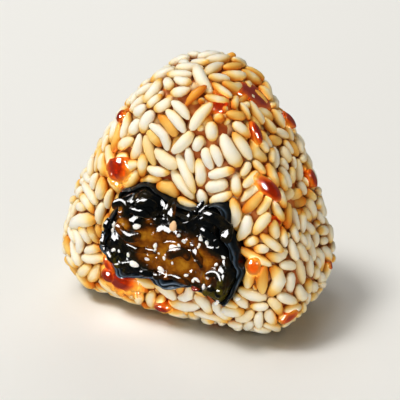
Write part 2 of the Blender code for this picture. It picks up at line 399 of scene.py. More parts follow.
@functools.lru_cache(maxsize=1)
def packed_rice(length, width, outer_count, gap_count, inner_count, seed):
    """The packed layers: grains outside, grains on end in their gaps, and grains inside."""
    rng = np.random.default_rng(seed)
    outer = lying_grains(rng, outer_count, length, width, 0.0, 0.08)
    outer = relax(outer, -0.0011, 150)
    gaps = gap_grains(rng, outer, gap_count, width, 0.0006)
    inner = lying_grains(rng, inner_count, length, width, 0.0021, 0.05)
    inner.tilt = rng.normal(0.0, 0.3, len(inner.half))
    inner = relax(inner, -0.0004, 60)
    return outer, gaps, inner


def layers_of(rice):
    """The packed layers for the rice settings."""
    return packed_rice(
        rice.grain_length, rice.grain_width, rice.outer_count, rice.gap_count, rice.inner_count,
        rice.seed,
    )


# ------------------------------------------------------------------ meshes from arrays


def grid_faces(rows, columns, closed):
    """Quads between the rows of a grid whose rows have columns points, closed round or not."""
    row = np.arange(rows - 1)[:, None] * columns
    column = np.arange(columns if closed else columns - 1)
    after = (column + 1) % columns
    return np.stack(
        [row + column, row + after, row + columns + after, row + columns + column], axis=-1
    ).reshape(-1, 4)


def tube_faces(rows, columns):
    """The faces of a closed tube of grid rows, with a pole before and a pole after them."""
    sides = grid_faces(rows, columns, True) + 1
    here = np.arange(columns)
    after = (here + 1) % columns
    first = np.stack([np.zeros(columns, int), after + 1, here + 1], axis=-1)
    base = 1 + (rows - 1) * columns
    last = np.stack([np.full(columns, rows * columns + 1), base + here, base + after], axis=-1)
    return sides, np.concatenate([first, last])


def add_mesh(name, points, quads, triangles, material, slot, **attributes):
    """A smooth mesh object from arrays, riding on the root, with its attributes by point."""
    mesh = bpy.data.meshes.new(name)
    quads, triangles = np.reshape(quads, (-1, 4)), np.reshape(triangles, (-1, 3))
    corners = np.concatenate([quads.ravel(), triangles.ravel()]).astype(np.int32)
    sizes = np.repeat([4, 3], [len(quads), len(triangles)]).astype(np.int32)
    mesh.vertices.add(len(points))
    mesh.vertices.foreach_set("co", np.asarray(points, np.float32).ravel())
    mesh.loops.add(len(corners))
    mesh.loops.foreach_set("vertex_index", corners)
    mesh.polygons.add(len(sizes))
    mesh.polygons.foreach_set("loop_start", (np.cumsum(sizes) - sizes).astype(np.int32))
    mesh.update(calc_edges=True)
    mesh.shade_smooth()
    for key, values in attributes.items():
        layer = mesh.attributes.new(key, "FLOAT", "POINT")
        layer.data.foreach_set("value", np.asarray(values, np.float32).ravel())
    mesh.materials.append(material)
    piece = bpy.data.objects.new(name, mesh)
    bpy.context.scene.collection.objects.link(piece)
    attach(piece, "root")
    return piece


def stations(count):
    """Places from -1 to 1 along a body, closest together near its ends."""
    return -np.cos(np.pi * np.arange(count) / (count - 1))


def carried(paths, outward, width, height, sides):
    """Closed bodies with an elliptical section, carried along the paths.

    Point = path + width * cos(a) * sideways + height * sin(a) * upwards, with the two
    directions square to the path and sideways lying flat on the surface. Each body has
    the path's first point, its rings of sides points and the path's last point.
    """
    along = unit(np.gradient(paths, axis=1))
    side = unit(np.cross(np.broadcast_to(outward, paths.shape), along))
    top = np.cross(along, side)
    angle = 2 * np.pi * np.arange(sides) / sides
    across = (width[..., None] * np.cos(angle))[..., None] * side[:, :, None]
    upward = (height[..., None] * np.sin(angle))[..., None] * top[:, :, None]
    rings = (paths[:, :, None] + across + upward)[:, 1:-1].reshape(len(paths), -1, 3)
    return np.concatenate([paths[:, :1], rings, paths[:, -1:]], axis=1)


def by_point(values, sides):
    """Values at a body's stations, repeated for each of the points that carried() makes."""
    rings = np.repeat(values[:, 1:-1], sides, axis=1)
    return np.concatenate([values[:, :1], rings, values[:, -1:]], axis=1)


def add_bodies(name, points, sides, material, slot, **attributes):
    """One mesh of many closed bodies, with every point kept on or above the floor."""
    count, each = points.shape[:2]
    quads, triangles = tube_faces((each - 2) // sides, sides)
    start = (np.arange(count) * each)[:, None, None]
    flat = points.reshape(-1, 3).copy()
    flat[:, 2] = np.maximum(flat[:, 2], 0.0)
    return add_mesh(name, flat, quads + start, triangles + start, material, slot, **attributes)


GRAIN_SIDES = 10
GRAIN_STATIONS = 7


def grain_points(rng, grains):
    """The points of every grain.

    Its radius is radius * (1 - |t|**p)**q * (1 - taper * t), with t from -1 to 1 along
    the grain. The powers p and q run from a blunt end to a pointed one.
    """
    count = len(grains.half)
    t = stations(GRAIN_STATIONS)
    longer = 1 + 0.12 * grains.radius / grains.half
    whole = Grains(
        grains.centre, grains.along, grains.half * longer, grains.radius, grains.bend,
        grains.tilt, grains.depth,
    )
    taper = rng.uniform(-0.18, 0.18, (count, 1))
    pointed = rng.random((count, 1)) ** 2
    swell = (1 - np.abs(t) ** (2.9 - 0.8 * pointed)) ** (0.50 + 0.12 * pointed) * (1 - taper * t)
    width = grains.radius[:, None] * swell * rng.uniform(0.91, 1.01, (count, 1))
    height = width * rng.uniform(0.84, 0.98, (count, 1))
    outward = normals_at(grains.centre)[:, None]
    return carried(whole.spine(t), outward, width, height, GRAIN_SIDES)


# ---------------------------------------------------------------------------- materials


def linear(hex_colour):
    """An sRGB hex colour as linear red, green, blue and alpha."""
    parts = np.array([int(hex_colour[i : i + 2], 16) for i in (1, 3, 5)]) / 255
    value = np.where(parts <= 0.04045, parts / 12.92, ((parts + 0.055) / 1.055) ** 2.4)
    return (*value.tolist(), 1.0)


def add_node(tree, kind, inputs=None, stops=None, **settings):
    """Adds a node with its settings; inputs are values or other nodes' output sockets.

    Stops are the places and colours of a ramp, each colour a hex or one from the settings.
    """
    node = tree.nodes.new(kind)
    for key, value in settings.items():
        setattr(node, key, value)
    for key, value in (inputs or {}).items():
        if isinstance(value, bpy.types.NodeSocket):
            tree.links.new(value, node.inputs[key])
        else:
            node.inputs[key].default_value = value
    for place, (position, colour) in enumerate(stops or []):
        if place > 1:
            node.color_ramp.elements.new(position)
        node.color_ramp.elements[place].position = position
        node.color_ramp.elements[place].color = (
            linear(colour) if isinstance(colour, str) else (*colour, 1.0)
        )
    return node


def new_material(name):
    """An empty node material and its tree."""
    material = bpy.data.materials.new(name)
    material.use_nodes = True
    material.node_tree.nodes.clear()
    return material, material.node_tree


def set_surface(tree, inputs):
    """Puts a Principled shader with these inputs on the material's surface."""
    shader = add_node(tree, "ShaderNodeBsdfPrincipled", inputs)
    add_node(tree, "ShaderNodeOutputMaterial", {"Surface": shader.outputs["BSDF"]})


def attribute(tree, name):
    """The output of a point attribute of the piece."""
    return add_node(tree, "ShaderNodeAttribute", attribute_name=name).outputs["Fac"]


def noise(tree, size_mm, detail=3.0, roughness=0.55):
    """Noise in the piece's own metres, whose features are about size_mm across."""
    place = add_node(tree, "ShaderNodeTexCoord").outputs["Object"]
    texture = add_node(
        tree,
        "ShaderNodeTexNoise",
        {"Vector": place, "Scale": 1000 / size_mm, "Detail": detail, "Roughness": roughness},
    )
    return texture.outputs["Fac"]


def steamed_rice(rice):
    """Short-grain rice, steamed and brushed with soy glaze.

    Cooked starch is milky and lets a little light in. The grains are ivory and turn straw
    yellow and then red brown down in the gaps: glaze that soaks in there, and painted shade
    where grains touch, on their flanks, deep down and on the ball's right side. Where glaze
    was brushed on they are golden, and orange at the ends that were dipped in it.
    """
    material, tree = new_material("steamed_short_grain_rice")
    soaked = add_node(
        tree,
        "ShaderNodeMath",
        {0: noise(tree, 2.6), 1: 0.24, 2: attribute(tree, "soaked")},
        operation="MULTIPLY_ADD",
    )
    # Ivory to red brown: glaze soaking into the gaps, and painted shade in them and on the flanks.
    stops = [
        (0.12, rice.grain_colour), (0.27, "#EEE2C6"), (0.42, "#E8CB98"), (0.56, "#D49A5C"),
        (0.72, "#B05E2C"), (0.90, rice.soak_and_shade_colour),
    ]
    plain = add_node(tree, "ShaderNodeValToRGB", {"Fac": soaked.outputs[0]}, stops)
    golden = attribute(tree, "golden")
    stops = [(0.15, "#F5E2B0"), (0.45, "#F0C870"), (0.75, "#E49C36"), (1.0, rice.brushed_colour)]
    brushed = add_node(tree, "ShaderNodeValToRGB", {"Fac": golden}, stops)
    share = add_node(tree, "ShaderNodeMapRange", {"Value": golden, "From Max": 0.5})
    colour = add_node(
        tree,
        "ShaderNodeMix",
        {
            "Factor": share.outputs[0],
            6: plain.outputs["Color"],
            7: brushed.outputs["Color"],
        },
        data_type="RGBA",
    )
    relief = add_node(
        tree,
        "ShaderNodeBump",
        {"Height": noise(tree, 1.1), "Strength": 0.2, "Distance": 0.0002},
    )
    set_surface(
        tree,
        {
            "Base Color": colour.outputs[2],
            "Roughness": 0.40,
            "IOR": 1.45,
            "Subsurface Weight": 0.20,
            "Subsurface Radius": (1.0, 0.72, 0.42),
            "Subsurface Scale": 0.0007,
            "Specular IOR Level": 0.18,
            "Coat Weight": 0.08,
            "Coat Roughness": 0.12,
            "Normal": relief.outputs["Normal"],
        },
    )
    return material


def glazed_rice_mass():
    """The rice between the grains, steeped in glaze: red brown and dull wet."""
    material, tree = new_material("glaze_soaked_rice")
    stops = [(0.30, "#A44616"), (0.52, "#B86024"), (0.75, "#CE8844")]
    colour = add_node(tree, "ShaderNodeValToRGB", {"Fac": noise(tree, 4.0)}, stops)
    set_surface(
        tree, {"Base Color": colour.outputs["Color"], "Roughness": 0.35, "Coat Weight": 0.4}
    )
    return material


def reduced_glaze(glaze):
    """Soy and mirin glaze, reduced to a syrup and clear as amber.

    Light takes on colour on its way through: golden where the drop is thin, orange and
    then deep red where it is thick. Its skin is mirror smooth.
    """
    material, tree = new_material("reduced_soy_glaze")
    depth = add_node(
        tree,
        "ShaderNodeMath",
        {0: noise(tree, 3.0), 1: 0.2, 2: attribute(tree, "thick")},
        operation="MULTIPLY_ADD",
    )
    stops = [
        (0.20, glaze.thin_colour), (0.38, "#E8922A"), (0.60, "#D65E10"), (0.85, "#A93408"),
        (1.0, glaze.deep_colour),
    ]
    colour = add_node(tree, "ShaderNodeValToRGB", {"Fac": depth.outputs[0]}, stops)
    set_surface(
        tree,
        {
            "Base Color": colour.outputs["Color"],
            "Roughness": 0.03,
            "IOR": 1.40,
            "Specular IOR Level": 0.12,
            "Transmission Weight": 0.15,
        },
    )
    return material


def hulled_sesame(seeds):
    """White sesame, hulled: ivory and satin. A seed that was toasted longer is peach."""
    material, tree = new_material("hulled_sesame_seed")
    toast = add_node(
        tree,
        "ShaderNodeMath",
        {0: noise(tree, 1.2), 1: 0.3, 2: attribute(tree, "toast")},
        operation="MULTIPLY_ADD",
    )
    stops = [(0.10, "#FFFDF6"), (0.25, seeds.hulled_colour), (0.90, seeds.toasted_colour)]
    colour = add_node(tree, "ShaderNodeValToRGB", {"Fac": toast.outputs[0]}, stops)
    set_surface(
        tree,
        {
            "Base Color": colour.outputs["Color"],
            "Roughness": 0.35,
            "Subsurface Weight": 0.25,
            "Subsurface Radius": (1.0, 0.8, 0.5),
            "Subsurface Scale": 0.0006,
            "Coat Weight": 0.4,
        },
    )
    return material


# --------------------------------------------------------------------------- the pieces


def waves(points, seed, size, count=24):
    """Smooth random values about 0, as a sum of sine waves of length size in all directions."""
    rng = np.random.default_rng(seed)
    towards = unit(rng.normal(size=(count, 3))) * rng.uniform(0.7, 1.4, (count, 1))
    phase = rng.uniform(0, 2 * np.pi, count)
    total = np.sin(points @ towards.T * (2 * np.pi / size) + phase).sum(axis=-1)
    return total / math.sqrt(count / 2)


def hollow_rings(turn, rim, floor, sink, steps):
    """Rings down the hollow's wall from its rim: a quarter ellipse in section.

    The share of the outline's radius is 1/2 + 1/2 cos(a) and the depth is
    rim + (floor - rim) sin(a), with a from 0 to 90 degrees.
    """
    angle = np.linspace(0, np.pi / 2, steps)[:, None]
    share = 0.5 + 0.5 * np.cos(angle)
    radius = (hollow_radius(turn) + sink) * share
    y = rim + (floor - rim) * np.sin(angle)
    x = HOLLOW_CENTRE[0] + radius * np.cos(turn)
    z = HOLLOW_CENTRE[1] + radius * np.sin(turn)
    return np.stack([x, y, z], axis=-1) + PLACE


def core_points(depth, columns, rows):
    """The glazed mass under the grains, with the hollow in its face.

    Each column is a meridian about the hollow's axis: from the middle of the back, over
    the edge to the hollow's rim on rays from inside the ball, then down the hollow's
    wall. The surface lies depth under the ball's, more or less by a few tenths.
    """
    turn = np.linspace(0, 2 * np.pi, columns, endpoint=False)
    radius = hollow_radius(turn)
    rim = depth - half_thickness(
        HOLLOW_CENTRE[0] + radius * np.cos(turn), HOLLOW_CENTRE[1] + radius * np.sin(turn)
    )
    start = PLACE + (HOLLOW_CENTRE[0], 0.0, HOLLOW_CENTRE[1])
    last = np.pi - np.arctan2(radius, -rim)
    angle = last * (np.arange(rows)[:, None] + 0.5) / rows
    outward = np.stack([np.cos(turn), np.zeros(columns), np.sin(turn)], axis=-1)
    towards = np.sin(angle)[..., None] * outward + np.cos(angle)[..., None] * (0.0, 1.0, 0.0)
    outside = on_rays(start, towards, depth)
    outside -= normals_at(outside) * (waves(outside, 3, 0.006) * 0.0003)[..., None]
    outside[..., 2] = np.maximum(outside[..., 2], 0.0015)
    inside = hollow_rings(turn, rim, 0.0028, 0.0, 10)
    rings = np.concatenate([outside, inside])
    first = outside[0].mean(axis=0, keepdims=True)
    floor = inside[-1].mean(axis=0, keepdims=True)
    return np.concatenate([first, rings.reshape(-1, 3), floor]), rings.shape[:2]


def stains(rng, points, grains, base):
    """How much glaze soak and painted shade each point of the grains has, and how golden it is,
    both from 0 to 1.

    Soak and shade adds up base, closeness to the nearest other grain (painted shade where
    grains touch), the grain's flanks (painted shade where they turn from the light), depth
    under the ball's surface (glaze that soaks in, and painted shade) and the ball's right
    side (painted shade). Golden adds up dipped ends, whole golden grains, closeness to the
    filling and the glaze drops, and broad brushed patches; the last three lean to the
    flanks as painted shade.
    """
    middles, radii = grains.balls()
    apart = np.linalg.norm(grains.centre[:, None] - grains.centre, axis=2)
    near = np.argsort(apart, axis=1)[:, 1:15]
    gap = np.full(points.shape[:2], np.inf)
    for ball in range(len(BALL_AT)):
        to_ball = np.linalg.norm(points[:, :, None] - middles[near, ball][:, None], axis=3)
        gap = np.minimum(gap, (to_ball - radii[near, ball][:, None]).min(axis=2))
    # Painted shade where grains touch: narrow gaps turn straw and brown.
    contact_shade = np.clip(1 - gap / 0.0005, 0, 1)
    # Painted shade on each grain's flanks; its back, which faces out, stays ivory.
    angle = 2 * np.pi * np.arange(GRAIN_SIDES) / GRAIN_SIDES
    back = np.concatenate([[0.4], np.tile(np.sin(angle), GRAIN_STATIONS - 2), [0.4]])
    flank_shade = 1 - np.clip(back, 0, 1)
    # Deep under the ball's surface: glaze that soaks in, and painted shade.
    sunk = np.clip((-ball_distance(points) - 0.0014) / 0.0020, 0, 1)
    # Painted shade on the ball's right side, away from the light.
    right = np.clip(1.6 * normals_at(grains.centre)[:, :1] - 0.4, 0, 1)
    soaked = np.clip(base + 0.20 * contact_shade + 0.20 * flank_shade + 0.55 * sunk + 0.10 * right, 0, 1)
    t = stations(GRAIN_STATIONS)
    count = len(grains.half)
    first, last = rng.random((2, count, 1)) ** 2.5 * 0.8
    ends = np.where(t < 0, first, last) * np.clip(np.abs(t) * 1.4 - 0.3, 0, 1)
    ends = by_point(ends, GRAIN_SIDES)
    whole = rng.random((count, 1)) ** 6 * 0.6
    rim = 0.7 * np.clip(1 - past_hollow(points) / 0.0040, 0, 1)
    pooled = np.zeros(points.shape[:2])
    for x, y, z, across, along, *_ in DROPS:
        away = np.linalg.norm((points - PLACE) * 1000 - (x, y, z), axis=2) / (across + along)
        pooled = np.maximum(pooled, 0.8 * np.clip(1.9 - 1.3 * away, 0, 1))
    patch = 0.22 * np.clip(waves(points, 11, 0.018), 0, 1)
    # Brushed gold leans to the flanks: real glaze, laid out as painted shade.
    golden = whole + ends + (rim + pooled + patch) * (0.3 + 0.7 * flank_shade)
    return soaked, np.clip(golden, 0, 1)


# ------------------------------------------------------------------------- the seaweed

GAP = 0.0003

# The seaweed sheet shows as a rim: its width, and how much it gains where it is folded.
SHEET_WALL = 0.0009
# Folds: the direction from the hollow's centre, the spread and the extra width.
SHEET_FOLDS = [
    (math.radians(20), math.radians(28), 0.0024),
    (math.radians(-110), math.radians(40), 0.0012),
    (math.radians(190), math.radians(28), 0.0011),
]
HEM_LIP = 0.0014
HEM_RISE = 0.0009
HEM_TURN = math.radians(-105)
HEM_SPREAD = math.radians(42)

# Lumps of the filling, as its solid has them: x, z, radius and height.
LUMPS = [
    (-0.0094, 0.0360, 0.0040, 0.0034), (-0.0032, 0.0368, 0.0040, 0.0036),
    (-0.0066, 0.0292, 0.0054, 0.0032), (0.0070, 0.0362, 0.0046, 0.0036),
    (0.0150, 0.0365, 0.0044, 0.0024), (0.0048, 0.0238, 0.0050, 0.0022),
    (0.0170, 0.0195, 0.0048, 0.0030), (-0.0122, 0.0200, 0.0044, 0.0018),
    (0.0140, 0.0285, 0.0044, 0.0014), (-0.0050, 0.0195, 0.0040, 0.0014),
    (0.0085, 0.0180, 0.0036, 0.0016),
]

# The syrupy middle of the filling: an ellipse's middle, half its size and its turn.
POOL_MIDDLE = np.array([0.0050, 0.0245])
POOL_REACH = np.array([0.0135, 0.0075])
POOL_TURN = math.radians(-10)

# Strips of seaweed: where each starts (x, z), its heading there, its length, how far it
# turns on the way and half its width. Lengths in millimetres, angles in degrees.
STRIPS = [
    (-11.0, 34.8, 90, 9.5, -320, 1.15), (-3.8, 36.2, 95, 7.0, -200, 1.30),
    (-8.2, 34.4, 40, 8.0, -80, 1.25), (-10.6, 31.3, -70, 8.5, 130, 1.45),
    (-15.6, 24.8, 80, 6.5, -20, 0.85), (-15.4, 20.6, 105, 5.5, -15, 0.75),
    (4.2, 40.2, -115, 5.5, 60, 0.70), (5.6, 40.0, -100, 7.5, 120, 1.25),
    (9.7, 36.4, 80, 2.6, 0, 0.75), (10.6, 38.2, 59, 3.6, 0, 0.65),
    (11.7, 38.0, 49, 3.8, 0, 0.60), (12.2, 36.8, 34, 3.4, 0, 0.60),
    (12.8, 39.0, 0, 11.0, -100, 1.80), (12.2, 35.0, -20, 7.0, -60, 1.20),
    (14.2, 21.0, 60, 8.5, -220, 1.00), (19.2, 23.6, -85, 7.0, -40, 1.00),
    (12.6, 15.6, 25, 6.0, 60, 0.90), (-14.2, 22.0, -60, 6.0, 60, 1.00),
    (-12.4, 18.0, 8, 6.5, 30, 0.90), (-4.6, 18.4, -18, 7.0, 40, 1.00),
    (3.0, 18.2, 15, 7.0, -50, 1.00), (-8.8, 25.0, -20, 9.0, 40, 0.90),
    (9.0, 29.4, -40, 7.5, -50, 1.10), (-2.4, 33.8, -20, 5.5, 70, 1.10),
    (3.8, 23.4, 80, 8.0, -160, 1.40),
]

# Amber places between the strips: x, z and radius.
AMBER_SPOTS = [
    (-0.0097, 0.0352, 0.0015), (0.0072, 0.0392, 0.0014), (-0.0016, 0.0330, 0.0012),
    (-0.0092, 0.0302, 0.0026), (-0.0040, 0.0290, 0.0020),
]


def turn_between(turn, other):
    """The angle from other to turn, from -180 to 180 degrees."""
    return (turn - other + math.pi) % (2 * math.pi) - math.pi


def sheet_wall(turn):
    """The seaweed sheet's width round the rim: broadest where it is folded, on the right."""
    wall = np.full(np.shape(turn), SHEET_WALL)
    for towards, spread, extra in SHEET_FOLDS:
        wall = wall + extra * np.exp(-((turn_between(turn, towards) / spread) ** 2))
    return wall


def hem_share(turn):
    """How much of the sheet's hem is folded out over the rice: all of it at the bottom."""
    return np.exp(-((turn_between(turn, HEM_TURN) / HEM_SPREAD) ** 2))


def on_face(x, z, out):
    """Points that stand out of the ball's smooth front face by out."""
    return np.stack([x, -half_thickness(x, z) - out, np.broadcast_to(z, x.shape)], axis=-1) + PLACE


def sheet_points(stand, columns, across):
    """The seaweed sheet, a thin-walled dish with a folded, wavy rim, and the painted
    reflection along its folds' crests.

    Over the rim the sheet stands out by stand * (1 - |2s - 1|**3), where s runs from its
    outer to its inner edge, plus small folds that run along it and waves round it.
    """
    turn = np.linspace(-np.pi, np.pi, columns, endpoint=False)
    wall = sheet_wall(turn)
    radius = hollow_radius(turn) - GAP
    x, z = HOLLOW_CENTRE[0] + radius * np.cos(turn), HOLLOW_CENTRE[1] + radius * np.sin(turn)
    face = -half_thickness(x, z)
    outer = hollow_rings(turn, face, 0.0025, -GAP, 9)[::-1]
    inner = hollow_rings(turn, face, 0.0010, -GAP - wall, 9)
    s = (np.arange(across)[:, None] + 0.5) / across
    wander = waves(np.stack([x, 0 * x, z], axis=-1), 21, 0.0045) * 0.00022
    lip = HEM_LIP * hem_share(turn)
    inward = s * wall + wander * np.sin(np.pi * s) - lip * (1 - s) ** 2
    x = HOLLOW_CENTRE[0] + (radius - inward) * np.cos(turn)
    z = HOLLOW_CENTRE[1] + (radius - inward) * np.sin(turn)
    place = np.stack([x, 0 * x, z], axis=-1)
    crest = np.cos(2 * np.pi * inward / 0.00115 + 1.4 * waves(place, 22, 0.009))
    ripple = waves(place, 23, 0.0035) * 0.00028
    hump = 1 - np.abs(2 * s - 1) ** 3
    stand = stand + HEM_RISE * hem_share(turn)
    rim = on_face(x, z, stand * hump + (0.00024 * crest + ripple) * np.sqrt(hump))
    rings = np.concatenate([outer, rim, inner])
    first, last = outer[0].mean(axis=0, keepdims=True), inner[-1].mean(axis=0, keepdims=True)
    points = np.concatenate([first, rings.reshape(-1, 3), last])
    # Painted reflection: grey blue on the hem's crests, strongest at the lower left and on the
    # right.
    painted_sheen_side = 0.10 + 0.75 * np.clip(1.4 * np.cos(turn_between(turn, math.radians(-125))), 0, 1)
    painted_sheen_side = painted_sheen_side + 0.50 * np.clip(np.cos(turn), 0, 1) ** 0.7
    sheen = np.zeros(rings.shape[:2])
    sheen[len(outer) : -len(inner)] = painted_sheen_side * np.clip(0.55 + 0.45 * crest, 0, 1) * hump
    return points, rings.shape[:2], np.concatenate([[0.0], sheen.ravel(), [0.0]])


def pool_share(x, z):
    """How far each place is in the filling's syrupy middle: 1 inside the ellipse, 0 outside."""
    dx, dz = x - POOL_MIDDLE[0], z - POOL_MIDDLE[1]
    c, s = math.cos(POOL_TURN), math.sin(POOL_TURN)
    away = np.hypot((c * dx + s * dz) / POOL_REACH[0], (c * dz - s * dx) / POOL_REACH[1])
    return np.clip((1.25 - away) / 0.5, 0, 1)


def amber_share(x, z):
    """How amber the leaf looks at each place: in the syrupy middle and in a few small spots."""
    share = 0.72 * pool_share(x, z)
    for across, up, radius in AMBER_SPOTS:
        away = np.hypot(x - across, z - up) / radius
        share = np.maximum(share, 0.85 * np.clip(1.6 - away, 0, 1))
    return share


def olive_share(x, z):
    """How olive the leaf looks at each place: most at the lower right, some at the lower left."""
    right = np.exp(-((x - 0.0165) ** 2 + (z - 0.0170) ** 2) / 0.0055**2)
    left = np.exp(-((x + 0.0105) ** 2 + (z - 0.0190) ** 2) / 0.0050**2)
    return 0.36 * right + 0.24 * left


def filling_out(x, z):
    """How far the filling stands out of the ball's smooth face at each place.

    It adds a low swell, a soft union of round lumps, and pillows that are as high as the
    size of a wave and so meet in creases. The syrup fills the creases in the middle.
    """
    place = np.stack([x, 0 * x, z], axis=-1)
    lumps = np.zeros(x.shape)
    for across, up, radius, height in LUMPS:
        away = np.hypot(x - across, z - up) / radius
        lumps += (height * np.sqrt(np.maximum(0, 1 - away**2))) ** 3
    pool = pool_share(x, z)
    lumps = lumps ** (1 / 3)
    calm = 1 - 0.85 * np.clip(lumps / 0.0020, 0, 1)
    folds = np.abs(waves(place, 31, 0.0070)) ** 0.8 * 0.0010
    creases = np.abs(waves(place, 32, 0.0040)) ** 0.8 * 0.0003
    return 0.0006 + lumps * (1 - 0.3 * pool) + (folds + creases) * calm * (1 - 0.25 * pool)


def filling_points(columns, rows):
    """The filling: a bowl inside the sheet, closed by a face of rings that shrink evenly."""
    turn = np.linspace(-np.pi, np.pi, columns, endpoint=False)
    inset = 2 * GAP + sheet_wall(turn)
    radius = hollow_radius(turn) - inset
    share = 1 - np.arange(rows)[:, None] / rows
    x = HOLLOW_CENTRE[0] + share * radius * np.cos(turn)
    z = HOLLOW_CENTRE[1] + share * radius * np.sin(turn)
    edge = np.clip((1 - share) * radius / 0.0014, 0, 1) ** 0.5
    face = on_face(x, z, 0.0009 + (filling_out(x, z) - 0.0009) * edge)
    bowl = hollow_rings(turn, -half_thickness(x[0], z[0]), 0.0007, -inset, 9)[:0:-1]
    rings = np.concatenate([bowl, face])
    first, last = bowl[0].mean(axis=0, keepdims=True), face[-1].mean(axis=0, keepdims=True)
    return np.concatenate([first, rings.reshape(-1, 3), last]), rings.shape[:2]


def strip_points(count, sides):
    """Strips of seaweed that lie curled and half sunk on the filling.

    A path's heading is heading + turn * u**1.3, with u from 0 to 1 along it, and its
    points are the running sum of its steps. The half width is half * (1 - |t|**4)**0.6.
    """
    x, z, heading, length, turn, half = (np.array(part)[:, None] for part in zip(*STRIPS))
    u = np.linspace(0.0, 1.0, count)
    angle = np.radians(heading + turn * u**1.3)
    step = length / 1000 / (count - 1)
    across = x / 1000 + np.cumsum(step * np.cos(angle), axis=1)
    up = z / 1000 + np.cumsum(step * np.sin(angle), axis=1)
    width = half / 1000 * (1 - np.abs(2 * u - 1) ** 4) ** 0.6
    ripple = 0.00025 * np.sin(9 * u + x)
    paths = on_face(across, up, filling_out(across, up) + 0.3 * half / 1000 + ripple)
    return carried(paths, (0.0, -1.0, 0.0), width, 0.55 * width, sides)


def wet_seaweed(seaweed):
    """Simmered seaweed, such as kombu and wakame, cut up and cooked down in soy and mirin.

    The wet leaf is black green and mirror glossy. Where it is thin or the syrup is deep,
    light comes through brown and amber, and olive at the leaf's edges.
    """
    material, tree = new_material("simmered_wakame_in_syrup")
    amber = add_node(
        tree,
        "ShaderNodeMath",
        {0: noise(tree, 4.2, 4.0, 0.6), 1: 1.5, 2: attribute(tree, "amber")},
        operation="MULTIPLY_ADD",
    )
    amber = add_node(tree, "ShaderNodeMath", {0: amber.outputs[0], 1: 0.74}, operation="SUBTRACT")
    stops = [
        (0.0, seaweed.leaf_colour), (0.22, "#1C170C"), (0.40, "#2E1807"), (0.58, "#5E2F06"),
        (0.76, "#884C0C"), (1.0, seaweed.syrup_colour),
    ]
    colour = add_node(tree, "ShaderNodeValToRGB", {"Fac": amber.outputs[0]}, stops)
    olive = add_node(
        tree,
        "ShaderNodeMath",
        {0: noise(tree, 2.8, 4.0, 0.6), 1: 1.2, 2: attribute(tree, "olive")},
        operation="MULTIPLY_ADD",
    )
    olive = add_node(
        tree,
        "ShaderNodeValToRGB",
        {"Fac": olive.outputs[0]},
        [(0.82, "#000000"), (0.98, "#E8E8E8")],
    )
    both = add_node(
        tree,
        "ShaderNodeMix",
        {
            "Factor": olive.outputs["Color"],
            6: colour.outputs["Color"],
            7: (*seaweed.olive_colour, 1.0),
        },
        data_type="RGBA",
    )
    relief = add_node(
        tree,
        "ShaderNodeBump",
        {"Height": noise(tree, 1.8, 2.0), "Strength": 0.12, "Distance": 0.0002},
    )
    set_surface(
        tree,
        {
            "Base Color": both.outputs[2],
            "Roughness": 0.05,
            "IOR": 1.40,
            "Specular IOR Level": 0.20,
            "Normal": relief.outputs["Normal"],
        },
    )
    return material


def wet_nori(seaweed):
    """Nori, a pressed and roasted seaweed sheet, gone wet and glossy on the warm rice.

    It is black green. Along its folds lies a grey blue painted reflection of the sky,
    strongest at the lower left and on the right, where the sheet faces the light.
    """
    material, tree = new_material("wet_nori_sheet")
    streak = noise(tree, 2.2, 5.0, 0.65)
    both = add_node(
        tree,
        "ShaderNodeMath",
        {0: streak, 1: 0.5, 2: attribute(tree, "sheen")},
        operation="MULTIPLY_ADD",
    )
    # Tone streaks in the leaf, lifted by the painted reflection to grey blue along the folds.
    stops = [(0.30, "#080C0D"), (0.50, "#151D22"), (0.75, "#34424F"), (1.0, seaweed.painted_sheen_colour)]
    colour = add_node(tree, "ShaderNodeValToRGB", {"Fac": both.outputs[0]}, stops)
    relief = add_node(
        tree,
        "ShaderNodeBump",
        {"Height": noise(tree, 0.8), "Strength": 0.35, "Distance": 0.0002},
    )
    set_surface(
        tree,
        {
            "Base Color": colour.outputs["Color"],
            "Roughness": 0.34,
            "IOR": 1.36,
            "Normal": relief.outputs["Normal"],
        },
    )
    return material


# -------------------------------------------------------------- glaze drops and seeds

